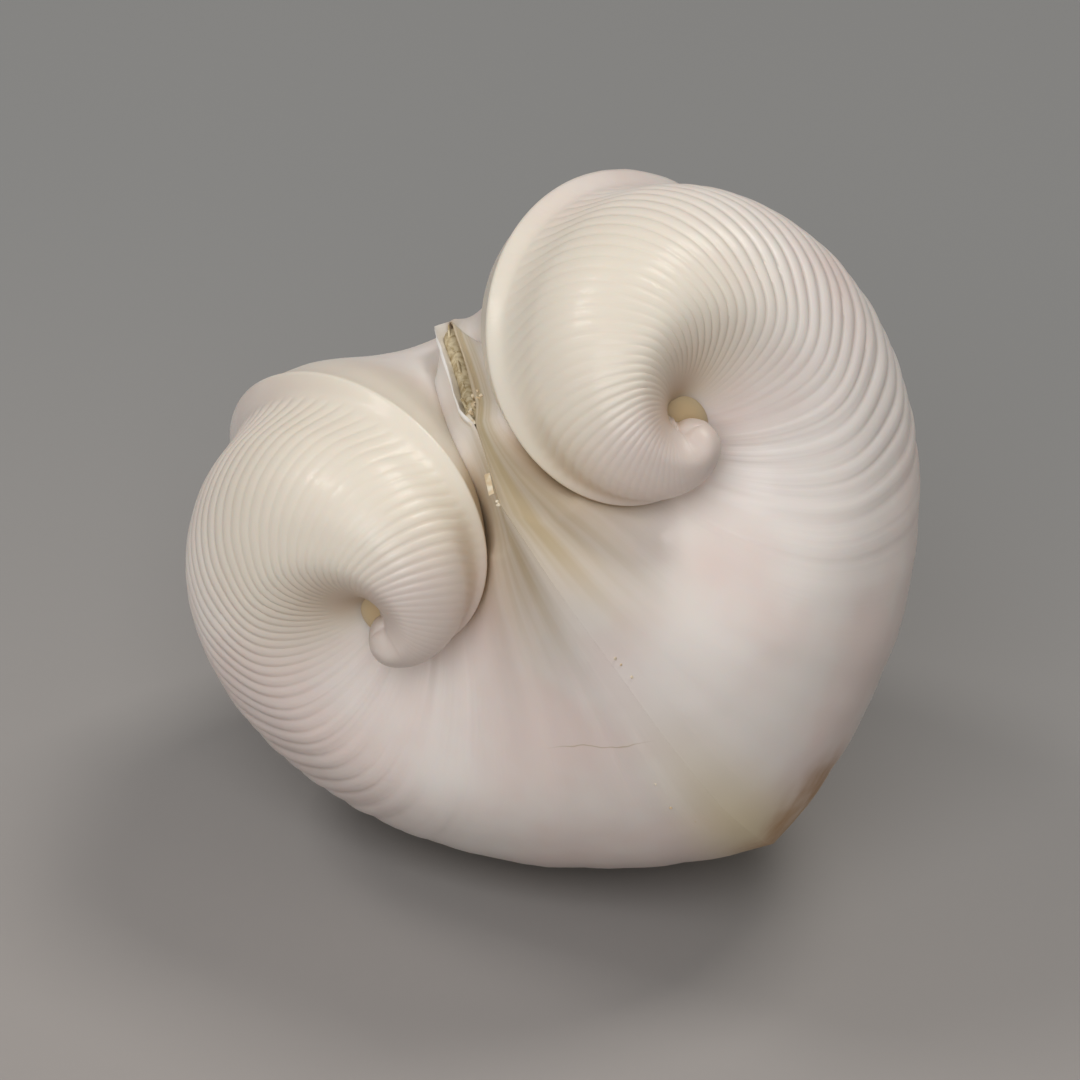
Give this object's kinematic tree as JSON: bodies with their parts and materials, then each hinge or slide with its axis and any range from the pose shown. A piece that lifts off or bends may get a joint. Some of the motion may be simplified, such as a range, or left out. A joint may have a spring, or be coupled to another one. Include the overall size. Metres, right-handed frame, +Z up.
{
  "type": "heart cockle shell",
  "caption": "Closed heart-shaped bivalve shell with ribbed valves, sharp keels and two curled beaks, lying on its side.",
  "frame": {"origin": "middle of the footprint's bounding box, on the ground under the resting shell", "axes": "+Z up from the ground; -Y is the side that shows both beaks and the front of the closed margin; the right valve is underneath"},
  "size_m": [0.0306, 0.0324, 0.0312],
  "materials": {
    "white_shell": "satin white shell, warmer in the hollows",
    "dried_ligament": "dull olive-brown, dry and flaky"
  },
  "bodies": {
    "root": {"left_valve": "white_shell", "right_valve": "white_shell", "ligament": "dried_ligament"}
  },
  "joints": []
}
